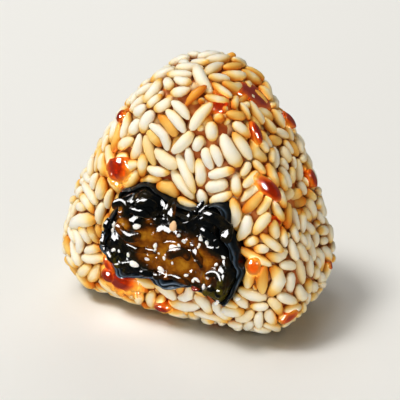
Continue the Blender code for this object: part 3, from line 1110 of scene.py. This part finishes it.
# Drops of glaze: x, y, z on the ball, half the width, half the height, the turn of its
# length from upright in degrees, how far it stands out of the ball's surface, how far up
# its length it is thickest, and how deep its colour looks, from 0 for gold to 1 for red.
# Lengths in millimetres. Where it stands out by less than 0, it lies in a dip between
# the grains instead of coating them.
DROPS = [
    (-12.9, -18.9, 43.0, 3.7, 4.6, 5, 0.9, 0.30, 0.85),
    (-11.8, -20.3, 9.6, 5.8, 4.9, 0, 1.2, 0.55, 1.05),
    (-15.2, -20.3, 12.6, 2.6, 2.2, 0, 1.7, 0.0, 0.95),
    (-15.4, -20.2, 15.3, 1.3, 3.0, -28, 0.7, 0.0, 0.55),
    (-0.2, -19.2, 5.6, 2.9, 1.9, 0, 1.0, 0.35, 0.95),
    (25.7, -19.1, 25.0, 2.2, 2.7, 10, 1.0, 0.20, 0.28),
    (-14.2, -13.5, 56.1, 1.3, 1.8, 0, 1.0, 0.0, 1.0),
    (16.8, 1.0, 63.0, 3.2, 7.6, -35, -0.60, 0.0, 0.90),
    (12.8, -11.0, 64.5, 3.6, 3.2, 0, -0.90, 0.0, 0.75),
    (20.9, -8.0, 56.6, 1.35, 3.0, 0, 0.9, 0.0, 0.95),
    (26.2, -12.3, 44.7, 2.2, 4.7, -38, 0.8, -0.20, 1.00),
    (22.7, 8.8, 53.4, 1.5, 3.3, -28, 0.8, 0.0, 1.0),
    (30.3, 7.3, 39.2, 1.5, 2.8, -4, 0.7, 0.0, 1.0),
    (37.2, 4.7, 16.3, 0.9, 1.3, 0, 0.5, 0.0, 0.8),
    (34.0, -14.1, 9.8, 1.7, 2.8, 50, 0.1, 0.0, 0.55),
    (29.6, -13.3, 36.2, 2.8, 2.2, 0, -1.00, 0.0, 0.75),
    (10.8, -20.4, 16.4, 1.4, 1.1, 0, 2.4, 0.0, 0.95),
    (-8.0, 18.0, 53.0, 2.4, 3.8, 0, 0.9, 0.20, 0.90),
    (12.0, 19.5, 38.0, 2.8, 4.2, -15, 1.0, 0.20, 0.80),
    (-20.0, 19.0, 24.0, 2.0, 3.0, 10, 0.8, 0.0, 0.70),
    (-31.0, 2.0, 26.0, 2.2, 3.2, 0, 0.9, 0.20, 0.80),
]
DROP_SIDES = 48
DROP_RINGS = 18

# Whole seeds on the filling: x, z and length in millimetres, the turn from level and how
# high it lies on a strip of seaweed. Some lie where the wet seaweed would show a highlight:
# white seeds as painted highlights. The last one is toasted.
SEEDS_AND_GLINTS = [
    (5.4, 27.2, 2.9, -10, 0.0), (-6.1, 19.7, 2.8, -12, 0.0), (1.5, 20.0, 2.1, -30, 0.0),
    (-4.7, 31.5, 2.3, 30, 0.0), (-0.1, 26.6, 1.6, 60, 0.0), (12.6, 31.8, 1.5, 80, 0.0),
    (13.8, 34.0, 2.0, -55, 0.0), (17.1, 38.4, 1.6, 60, 0.0), (6.7, 35.4, 2.9, 70, 0.9),
]
# Groups of broken seeds on the filling: x, z, spread and how many.
SEED_GROUPS = [
    (13.0, 30.8, 2.2, 4), (18.5, 29.0, 2.2, 3), (18.0, 24.0, 3.0, 4), (14.0, 19.5, 3.5, 6),
    (18.5, 15.0, 1.5, 2), (8.0, 23.0, 4.5, 4), (6.5, 31.0, 2.5, 4), (-2.0, 23.5, 3.5, 4),
    (-11.0, 22.5, 3.5, 3), (-14.5, 29.5, 2.8, 4), (-6.0, 37.0, 4.5, 4), (16.5, 39.0, 1.5, 2),
]
# Seeds that lie on the rice: x, y, z on the ball.
STRAY_SEEDS = [
    (22.1, -19.7, 15.4), (-3.0, 19.0, 30.0), (15.0, 19.0, 20.0),
]


SEED_SIDES = 8
SEED_STATIONS = 6


def grain_backs(points, normals, middles, radii):
    """How high the nearest grain stands over each point, along its normal."""
    reach = middles[None] - points[:, None]
    along = (reach * normals[:, None]).sum(axis=2)
    aside = (reach**2).sum(axis=2) - along**2
    over = along + np.sqrt(np.maximum(radii**2 - aside, 0))
    return np.where(aside < radii**2, over, -0.0025).max(axis=1)


def drop_points(drop, middles, radii, film, soft):
    """One drop, which lies over the grains like a blanket, and how deep each point looks.

    Its dome is rise * (1 - r**2)**0.6 over the ball's surface, with r from 0 to 1 over
    an ellipse round its thickest place, and falls away beyond. The skin is the soft
    maximum of the dome and of the grains' backs with a film of glaze, which thins until
    it dips under the grains at the drop's edge. A drop in a dip is level and has no film.
    """
    x, y, z, across, along, turn, rise, heavy, depth = drop
    across, along, rise = across / 1000, along / 1000, rise / 1000
    spot = at_depth(np.array([[x, y, z]]) / 1000 + PLACE, 0.0)
    normal = normals_at(spot)
    level = unit(np.cross((0.0, 0.0, 1.0), normal))
    upward = np.cross(normal, level)
    lean = math.radians(turn)
    long_way = math.cos(lean) * upward + math.sin(lean) * level
    short_way = math.cos(lean) * level - math.sin(lean) * upward
    r = np.linspace(0.0, 1.0, DROP_RINGS + 1)[1:, None]
    angle = 2 * np.pi * np.arange(DROP_SIDES) / DROP_SIDES
    wobble = 1 + 0.10 * np.sin(2 * angle + 0.9 * x) + 0.08 * np.sin(3 * angle + 0.7 * z)
    u = np.concatenate([[0.0], (r * wobble * np.cos(angle)).ravel()])
    v = np.concatenate([[0.0], (r * wobble * np.sin(angle)).ravel()])
    flat = spot + (u * across)[:, None] * short_way + (v * along)[:, None] * long_way
    flat = at_depth(flat, 0.0)
    normals = normals_at(flat)
    close = np.linalg.norm(middles - spot, axis=1) < 2 * (across + along) + 0.002
    backs = grain_backs(flat, normals, middles[close], radii[close])
    body = np.hypot(u, v - heavy) / (1 - 0.6 * abs(heavy))
    r = np.concatenate([[0.0], np.repeat(r[:, 0], DROP_SIDES)])
    if rise > 0:
        dome = rise * (1 - np.minimum(body, 1) ** 2) ** 0.6
        coat = backs + film * (1 - 1.7 * r**4)
    else:
        dome = rise - 0.0012 * r**6
        coat = np.full(len(r), -0.004)
    dome = dome - 0.004 * np.maximum(body - 1, 0)
    skin = soft * np.logaddexp(dome / soft, coat / soft)
    top = flat + normals * skin[:, None]
    under = flat - normals * 0.0030
    rings = under[1:].reshape(DROP_RINGS, DROP_SIDES, 3)[::-1]
    points = np.concatenate([top, rings.reshape(-1, 3), under[:1]])
    look = depth * np.clip(1.25 - 1.05 * body, 0, 1)
    look = 0.16 + look + 0.12 * np.clip((skin - backs) / 0.0012, 0, 1)
    return points, np.concatenate([look, np.full(len(points) - len(look), depth)])


def scattered_seeds(rng, broken):
    """Places, outward directions, directions of length and half lengths of the seeds."""
    groups = [
        rng.normal(size=(count, 2)) * spread * 0.6 + (x, z)
        for x, z, spread, count in SEED_GROUPS
    ]
    whole = np.array(SEEDS_AND_GLINTS)
    x, z = np.concatenate([whole[:, :2], *groups]).T / 1000
    away = np.hypot(x - HOLLOW_CENTRE[0], z - HOLLOW_CENTRE[1])
    turn = np.arctan2(z - HOLLOW_CENTRE[1], x - HOLLOW_CENTRE[0])
    shrink = np.minimum(1.0, (hollow_radius(turn) - sheet_wall(turn) - 0.0012) / away)
    x = HOLLOW_CENTRE[0] + (x - HOLLOW_CENTRE[0]) * shrink
    z = HOLLOW_CENTRE[1] + (z - HOLLOW_CENTRE[1]) * shrink
    lift = np.pad(whole[:, 4], (0, len(x) - len(whole))) / 1000
    on_filling = on_face(x, z, filling_out(x, z) + 0.0003 + lift)
    on_rice = at_depth(np.array(STRAY_SEEDS) / 1000 + PLACE, -0.0003)
    centres = np.concatenate([on_filling, on_rice])
    outward = np.concatenate(
        [np.broadcast_to((0.0, -1.0, 0.0), on_filling.shape), normals_at(on_rice)]
    )
    along = np.cross(outward, rng.normal(size=outward.shape))
    lean = np.radians(whole[:, 3])
    along[: len(whole)] = np.stack([np.cos(lean), 0 * lean, np.sin(lean)], axis=-1)
    along = unit(unit(along) + rng.normal(size=outward.shape) * 0.15)
    length = broken * rng.uniform(0.75, 1.2, len(centres))
    length[: len(whole)] = whole[:, 2] / 1000
    return centres, outward, along, length / 2


def seed_points(centres, outward, along, size):
    """Flattened teardrops: the radius is sqrt(1 - t**2) * (1 - 0.3 t) times half the width."""
    t = stations(SEED_STATIONS)
    paths = centres[:, None] + (size[:, None] * t)[..., None] * along[:, None]
    width = size[:, None] * 0.68 * np.sqrt(1 - t**2) * (1 - 0.25 * t)
    return carried(paths, outward[:, None], width, 0.65 * width, SEED_SIDES)


# ------------------------------------------------------------------------- the settings


class RiceSettings(bpy.types.PropertyGroup):
    """Sizes and colours of the rice, and how its grains are packed."""

    grain_length: bpy.props.FloatProperty(
        name="Grain Length",
        description="Usual length of a cooked grain",
        default=0.0072,
        unit="LENGTH",
    )
    grain_width: bpy.props.FloatProperty(
        name="Grain Width",
        description="Usual width of a cooked grain",
        default=0.0031,
        unit="LENGTH",
    )
    outer_count: bpy.props.IntProperty(
        name="Outer Grains",
        description="Grains that lie in the outer layer before its gaps are filled",
        default=620,
        min=1,
    )
    gap_count: bpy.props.IntProperty(
        name="Gap Grains",
        description="Most grains that stand on end in the outer layer's gaps",
        default=220,
        min=0,
    )
    inner_count: bpy.props.IntProperty(
        name="Inner Grains",
        description="Grains in the layer under the outer one",
        default=520,
        min=1,
    )
    core_depth: bpy.props.FloatProperty(
        name="Core Depth",
        description="How far the glazed mass lies under the backs of the outer grains",
        default=0.0027,
        unit="LENGTH",
    )
    seed: bpy.props.IntProperty(
        name="Seed", description="Start of the random numbers that lay the grains", default=7
    )
    grain_colour: bpy.props.FloatVectorProperty(
        name="Grain Colour",
        description="A grain that no glaze has reached",
        default=linear("#EDE8DA")[:3],
        subtype="COLOR",
    )
    brushed_colour: bpy.props.FloatVectorProperty(
        name="Brushed Colour",
        description="A grain with the most glaze brushed on",
        default=linear("#CF6A16")[:3],
        subtype="COLOR",
    )
    # Darkest colour of the gaps: glaze that soaks in, and painted shade.
    soak_and_shade_colour: bpy.props.FloatVectorProperty(
        name="Soaked Colour",
        description="Rice down in the gaps, where glaze has soaked in",
        default=linear("#8A3812")[:3],
        subtype="COLOR",
    )


class SeaweedSettings(bpy.types.PropertyGroup):
    """Sizes and colours of the nori lining and the seaweed in it."""

    rim_height: bpy.props.FloatProperty(
        name="Rim Height",
        description="How far the lining's rim stands out of the rice",
        default=0.0009,
        unit="LENGTH",
    )
    # The brightest painted reflection along the lining's folds.
    painted_sheen_colour: bpy.props.FloatVectorProperty(
        name="Sheen Colour",
        description="The brightest sheen along the lining's folds",
        default=linear("#5E6E7E")[:3],
        subtype="COLOR",
    )
    leaf_colour: bpy.props.FloatVectorProperty(
        name="Leaf Colour",
        description="Thick wet leaf",
        default=linear("#07090A")[:3],
        subtype="COLOR",
    )
    olive_colour: bpy.props.FloatVectorProperty(
        name="Olive Colour",
        description="Thin leaf with light coming through",
        default=linear("#4C430E")[:3],
        subtype="COLOR",
    )
    syrup_colour: bpy.props.FloatVectorProperty(
        name="Syrup Colour",
        description="The clearest syrup in the middle of the filling",
        default=linear("#AE741A")[:3],
        subtype="COLOR",
    )


class GlazeSettings(bpy.types.PropertyGroup):
    """Thickness and colours of the drops of glaze."""

    film: bpy.props.FloatProperty(
        name="Film",
        description="Thickness of the glaze over the backs of the grains under a drop",
        default=0.00030,
        unit="LENGTH",
        precision=5,
    )
    softness: bpy.props.FloatProperty(
        name="Softness",
        description="How widely a drop rounds over where it meets a grain",
        default=0.00022,
        min=0.00001,
        unit="LENGTH",
        precision=5,
    )
    thin_colour: bpy.props.FloatVectorProperty(
        name="Thin Colour",
        description="Glaze where it is thinnest",
        default=linear("#F0B44C")[:3],
        subtype="COLOR",
    )
    deep_colour: bpy.props.FloatVectorProperty(
        name="Deep Colour",
        description="Glaze where it is deepest",
        default=linear("#8A2206")[:3],
        subtype="COLOR",
    )


class SeedSettings(bpy.types.PropertyGroup):
    """Size, scatter and colours of the sesame seeds."""

    broken_length: bpy.props.FloatProperty(
        name="Broken Seed",
        description="Usual length of a broken seed",
        default=0.00125,
        unit="LENGTH",
        precision=5,
    )
    seed: bpy.props.IntProperty(
        name="Seed", description="Start of the random numbers that scatter the seeds", default=5
    )
    hulled_colour: bpy.props.FloatVectorProperty(
        name="Hulled Colour",
        description="A white seed",
        default=linear("#FBF3DF")[:3],
        subtype="COLOR",
    )
    toasted_colour: bpy.props.FloatVectorProperty(
        name="Toasted Colour",
        description="A seed that was toasted longer",
        default=linear("#F2C493")[:3],
        subtype="COLOR",
    )


class StageSettings(bpy.types.PropertyGroup):
    """The floor, the light and the camera."""

    floor_colour: bpy.props.FloatVectorProperty(
        name="Floor Colour",
        description="The card under the rice ball",
        default=linear("#F1EFE9")[:3],
        subtype="COLOR",
    )
    brightness: bpy.props.FloatProperty(
        name="Brightness",
        description="Share of the usual power of every light",
        default=1.0,
        min=0.0,
        subtype="FACTOR",
    )
    azimuth: bpy.props.FloatProperty(
        name="Azimuth",
        description="Turn of the camera from the filled face, to the right",
        default=math.radians(26.6),
        subtype="ANGLE",
    )
    elevation: bpy.props.FloatProperty(
        name="Elevation",
        description="Angle at which the camera looks down",
        default=math.radians(27.85),
        subtype="ANGLE",
    )
    distance: bpy.props.FloatProperty(
        name="Distance",
        description="From the camera to the middle of its view",
        default=0.3684,
        unit="LENGTH",
    )
    lens: bpy.props.FloatProperty(
        name="Lens",
        description="Focal length of the camera, in millimetres",
        default=119.9,
        min=1.0,
        unit="CAMERA",
    )


# ------------------------------------------------------------------------ the operators

CORE_COLUMNS, CORE_ROWS = 150, 90
SHEET_COLUMNS, SHEET_ROWS = 300, 30
FILLING_COLUMNS, FILLING_ROWS = 300, 70
STRIP_STATIONS, STRIP_SIDES = 40, 12


class ONIGIRI_OT_core(bpy.types.Operator):
    """Make the glazed mass of rice under the outer grains"""

    bl_idname = "onigiri.core"
    bl_label = "Rice Core"

    def execute(self, context):
        depth = context.scene.onigiri_rice.core_depth
        points, (rows, columns) = core_points(depth, CORE_COLUMNS, CORE_ROWS)
        quads, triangles = tube_faces(rows, columns)
        core = add_mesh("rice_core", points, quads, triangles, glazed_rice_mass(), "cooked_rice")
        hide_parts("rice_ball")
        return {"FINISHED"}


class ONIGIRI_OT_grains(bpy.types.Operator):
    """Pack the rice grains in two layers over the core"""

    bl_idname = "onigiri.grains"
    bl_label = "Rice Grains"

    def execute(self, context):
        rice = context.scene.onigiri_rice
        rng = np.random.default_rng(rice.seed)
        material = steamed_rice(rice)
        # Deeper layers start darker: glaze that soaks in, and painted shade for the gaps they show
        # in.
        names = ("outer_grains", 0.0), ("gap_grains", 0.10), ("inner_grains", 0.26)
        for (name, base), grains in zip(names, layers_of(rice)):
            points = grain_points(rng, grains)
            soaked, golden = stains(rng, points, grains, base)
            add_bodies(
                name,
                points,
                GRAIN_SIDES,
                material,
                "cooked_rice",
                soaked=soaked,
                golden=golden,
            )
        return {"FINISHED"}


class ONIGIRI_OT_nori(bpy.types.Operator):
    """Make the wet seaweed sheet that lines the hollow"""

    bl_idname = "onigiri.nori"
    bl_label = "Nori Lining"

    def execute(self, context):
        seaweed = context.scene.onigiri_seaweed
        points, shape, sheen = sheet_points(seaweed.rim_height, SHEET_COLUMNS, SHEET_ROWS)
        quads, triangles = tube_faces(*shape)
        material = wet_nori(seaweed)
        # The painted reflection rides on the sheet as a point attribute.
        nori = add_mesh("nori_sheet", points, quads, triangles, material, "wet_nori", sheen=sheen)
        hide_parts("nori_lining")
        return {"FINISHED"}


class ONIGIRI_OT_filling(bpy.types.Operator):
    """Make the simmered seaweed and its curled strips"""

    bl_idname = "onigiri.filling"
    bl_label = "Seaweed Filling"

    def execute(self, context):
        material = wet_seaweed(context.scene.onigiri_seaweed)
        points, shape = filling_points(FILLING_COLUMNS, FILLING_ROWS)
        quads, triangles = tube_faces(*shape)
        x, _, z = (points - PLACE).T
        mass = add_mesh(
            "seaweed_mass",
            points,
            quads,
            triangles,
            material,
            "simmered_seaweed",
            amber=amber_share(x, z),
            olive=olive_share(x, z),
        )
        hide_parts("seaweed_filling")
        strips = strip_points(STRIP_STATIONS, STRIP_SIDES)
        x, _, z = np.moveaxis(strips - PLACE, -1, 0)
        add_bodies(
            "seaweed_strips",
            strips,
            STRIP_SIDES,
            material,
            "simmered_seaweed",
            amber=amber_share(x, z) * 0.6,
            olive=olive_share(x, z),
        )
        return {"FINISHED"}


class ONIGIRI_OT_drops(bpy.types.Operator):
    """Make the drops of reduced glaze on the rice"""

    bl_idname = "onigiri.drops"
    bl_label = "Glaze Drops"

    def execute(self, context):
        glaze = context.scene.onigiri_glaze
        outer, gaps, _ = layers_of(context.scene.onigiri_rice)
        balls = [grains.balls() for grains in (outer, gaps)]
        middles = np.concatenate([middles.reshape(-1, 3) for middles, _ in balls])
        radii = np.concatenate([radii.ravel() for _, radii in balls])
        made = [
            drop_points(drop, middles, radii, glaze.film, glaze.softness) for drop in DROPS
        ]
        points = np.stack([points for points, _ in made])
        thick = np.stack([thick for _, thick in made])
        material = reduced_glaze(glaze)
        add_bodies("glaze_drops", points, DROP_SIDES, material, "soy_glaze", thick=thick)
        return {"FINISHED"}


class ONIGIRI_OT_seeds(bpy.types.Operator):
    """Scatter the sesame seeds"""

    bl_idname = "onigiri.seeds"
    bl_label = "Sesame Seeds"

    def execute(self, context):
        seeds = context.scene.onigiri_seeds
        rng = np.random.default_rng(seeds.seed)
        points = seed_points(*scattered_seeds(rng, seeds.broken_length))
        toast = np.zeros(points.shape[:2])
        toast[len(SEEDS_AND_GLINTS) - 1] = 0.8
        material = hulled_sesame(seeds)
        add_bodies("sesame_seeds", points, SEED_SIDES, material, "white_sesame", toast=toast)
        return {"FINISHED"}


# Soft boxes: name, place, watts and size. This one lights everything.
LIGHTS = [
    ("key", (-0.72, -0.52, 1.80), 21.5, 0.45),
]
# These light only the floor: its shadow stays soft away from the ball, and it is brighter
# towards the back.
FLOOR_LIGHTS = [
    ("sky", (-0.45, -0.25, 1.75), 10.5, 1.20),
    ("far", (-0.20, 0.60, 0.50), 1.0, 0.50),
]
# These light only the food, leave the floor's shadow dark and don't mirror in the food.
FOOD_LIGHTS = [
    ("crown", (-0.60, -0.30, 1.90), 9.5, 0.80),
    ("front", (-0.50, -1.70, 0.65), 13.5, 0.90),
    ("fill", (1.50, -0.90, 0.35), 11.5, 1.00),
]
# These show only in reflections, and only on the named pieces.
SEAWEED = ("seaweed_mass", "seaweed_strips")
SHINES = [
    ("window_shine", (-0.42, -0.66, 0.62), 300.0, 1.02, SEAWEED),
    ("side_shine", (-0.95, -0.35, 0.25), 35.0, 0.35, SEAWEED),
    ("drop_shine", (-0.45, -1.00, 0.34), 340.0, 0.54, ("glaze_drops",)),
    ("edge_shine", (0.85, -0.62, 0.34), 180.0, 0.40, ("glaze_drops",)),
]
FOOD = (
    "rice_core", "outer_grains", "gap_grains", "inner_grains", "nori_sheet", "seaweed_mass",
    "seaweed_strips", "glaze_drops", "sesame_seeds",
)


WORLD_STRENGTH = 0.11

# The middle of the camera's view, to the right of the ball's own axis and up in the view.
AIM_RIGHT = 0.001216
AIM_UP = 0.02568


def add_light(name, place, watts, size):
    """A square soft box that faces the ball."""
    light = bpy.data.lights.new(name, "AREA")
    light.energy, light.size = watts, size
    lamp = bpy.data.objects.new(name, light)
    lamp.location = place
    lamp.rotation_mode = "QUATERNION"
    lamp.rotation_quaternion = (Vector((0.0, 0.0, 0.03)) - lamp.location).to_track_quat("-Z", "Y")
    bpy.context.scene.collection.objects.link(lamp)
    return lamp


def light_only(lamp, names):
    """Lets the lamp light only the named pieces."""
    lit = bpy.data.collections.new(lamp.name)
    lamp.light_linking.receiver_collection = lit
    for name in names:
        lit.objects.link(bpy.data.objects[name])


class ONIGIRI_OT_stage(bpy.types.Operator):
    """Set up the floor, the lights and the camera"""

    bl_idname = "onigiri.stage"
    bl_label = "Stage"

    def execute(self, context):
        scene = context.scene
        stage = scene.onigiri_stage
        material, tree = new_material("white_card")
        colour = (*stage.floor_colour, 1.0)
        set_surface(tree, {"Base Color": colour, "Roughness": 0.9, "Specular IOR Level": 0.0})
        mesh = bpy.data.meshes.new("floor")
        mesh.from_pydata([(-2, -2, 0), (2, -2, 0), (2, 2, 0), (-2, 2, 0)], [], [(0, 1, 2, 3)])
        mesh.materials.append(material)
        floor = bpy.data.objects.new("floor", mesh)
        scene.collection.objects.link(floor)
        # The wet skins would mirror the white card as a grey haze.
        floor.visible_glossy = False
        floor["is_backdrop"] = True

        world = bpy.data.worlds.new("studio")
        world.use_nodes = True
        background = world.node_tree.nodes["Background"]
        background.inputs["Color"].default_value = linear("#F6F6F4")
        background.inputs["Strength"].default_value = WORLD_STRENGTH * stage.brightness
        scene.world = world

        for row in LIGHTS:
            add_light(*row)
        for row in FLOOR_LIGHTS:
            light_only(add_light(*row), ("floor",))
        for row in FOOD_LIGHTS:
            lamp = add_light(*row)
            lamp.visible_glossy = False
            light_only(lamp, FOOD)
        for *row, pieces in SHINES:
            lamp = add_light(*row)
            lamp.visible_diffuse = False
            light_only(lamp, pieces)
        for light in bpy.data.lights:
            light.energy *= stage.brightness

        back = np.array([
            math.sin(stage.azimuth) * math.cos(stage.elevation),
            -math.cos(stage.azimuth) * math.cos(stage.elevation),
            math.sin(stage.elevation),
        ])
        right = np.array([math.cos(stage.azimuth), math.sin(stage.azimuth), 0.0])
        aim = PLACE + right * AIM_RIGHT + np.cross(back, right) * AIM_UP
        lens = bpy.data.cameras.new("camera")
        lens.sensor_width, lens.lens = 36.0, stage.lens
        camera = bpy.data.objects.new("camera", lens)
        camera.location = aim + back * stage.distance
        camera.rotation_mode = "QUATERNION"
        camera.rotation_quaternion = Vector(-back).to_track_quat("-Z", "Y")
        scene.collection.objects.link(camera)
        scene.camera = camera
        scene.view_settings.view_transform = "Standard"
        return {"FINISHED"}


# Each group's name on the scene, its class and the operators that use it.
GROUPS = {
    "onigiri_rice": (RiceSettings, (ONIGIRI_OT_core, ONIGIRI_OT_grains)),
    "onigiri_seaweed": (SeaweedSettings, (ONIGIRI_OT_nori, ONIGIRI_OT_filling)),
    "onigiri_glaze": (GlazeSettings, (ONIGIRI_OT_drops,)),
    "onigiri_seeds": (SeedSettings, (ONIGIRI_OT_seeds,)),
    "onigiri_stage": (StageSettings, (ONIGIRI_OT_stage,)),
}


class ONIGIRI_PT_sidebar(bpy.types.Panel):
    """Lists the settings and the operators that use them"""

    bl_idname = "ONIGIRI_PT_sidebar"
    bl_label = "Glazed Onigiri"
    bl_space_type = "VIEW_3D"
    bl_region_type = "UI"
    bl_category = "Onigiri"

    def draw(self, context):
        for group, (kind, operators) in GROUPS.items():
            box = self.layout.box()
            for setting in kind.__annotations__:
                box.prop(getattr(context.scene, group), setting)
            for operator in operators:
                box.operator(operator.bl_idname)


CLASSES = (
    RiceSettings,
    SeaweedSettings,
    GlazeSettings,
    SeedSettings,
    StageSettings,
    ONIGIRI_OT_core,
    ONIGIRI_OT_grains,
    ONIGIRI_OT_nori,
    ONIGIRI_OT_filling,
    ONIGIRI_OT_drops,
    ONIGIRI_OT_seeds,
    ONIGIRI_OT_stage,
    ONIGIRI_PT_sidebar,
)


def register():
    for kind in CLASSES:
        bpy.utils.register_class(kind)
    for group, (kind, _) in GROUPS.items():
        setattr(bpy.types.Scene, group, bpy.props.PointerProperty(type=kind))


def unregister():
    for group in GROUPS:
        delattr(bpy.types.Scene, group)
    for kind in reversed(CLASSES):
        bpy.utils.unregister_class(kind)


def main():
    register()
    bpy.ops.onigiri.core()
    bpy.ops.onigiri.grains()
    bpy.ops.onigiri.nori()
    bpy.ops.onigiri.filling()
    bpy.ops.onigiri.drops()
    bpy.ops.onigiri.seeds()
    bpy.ops.onigiri.stage()
    sizes = {"cad": CAD_BOX, "visual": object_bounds()}
    sizes = {key: [list(corner) for corner in box] for key, box in sizes.items()}


if __name__ == "__main__":
    main()
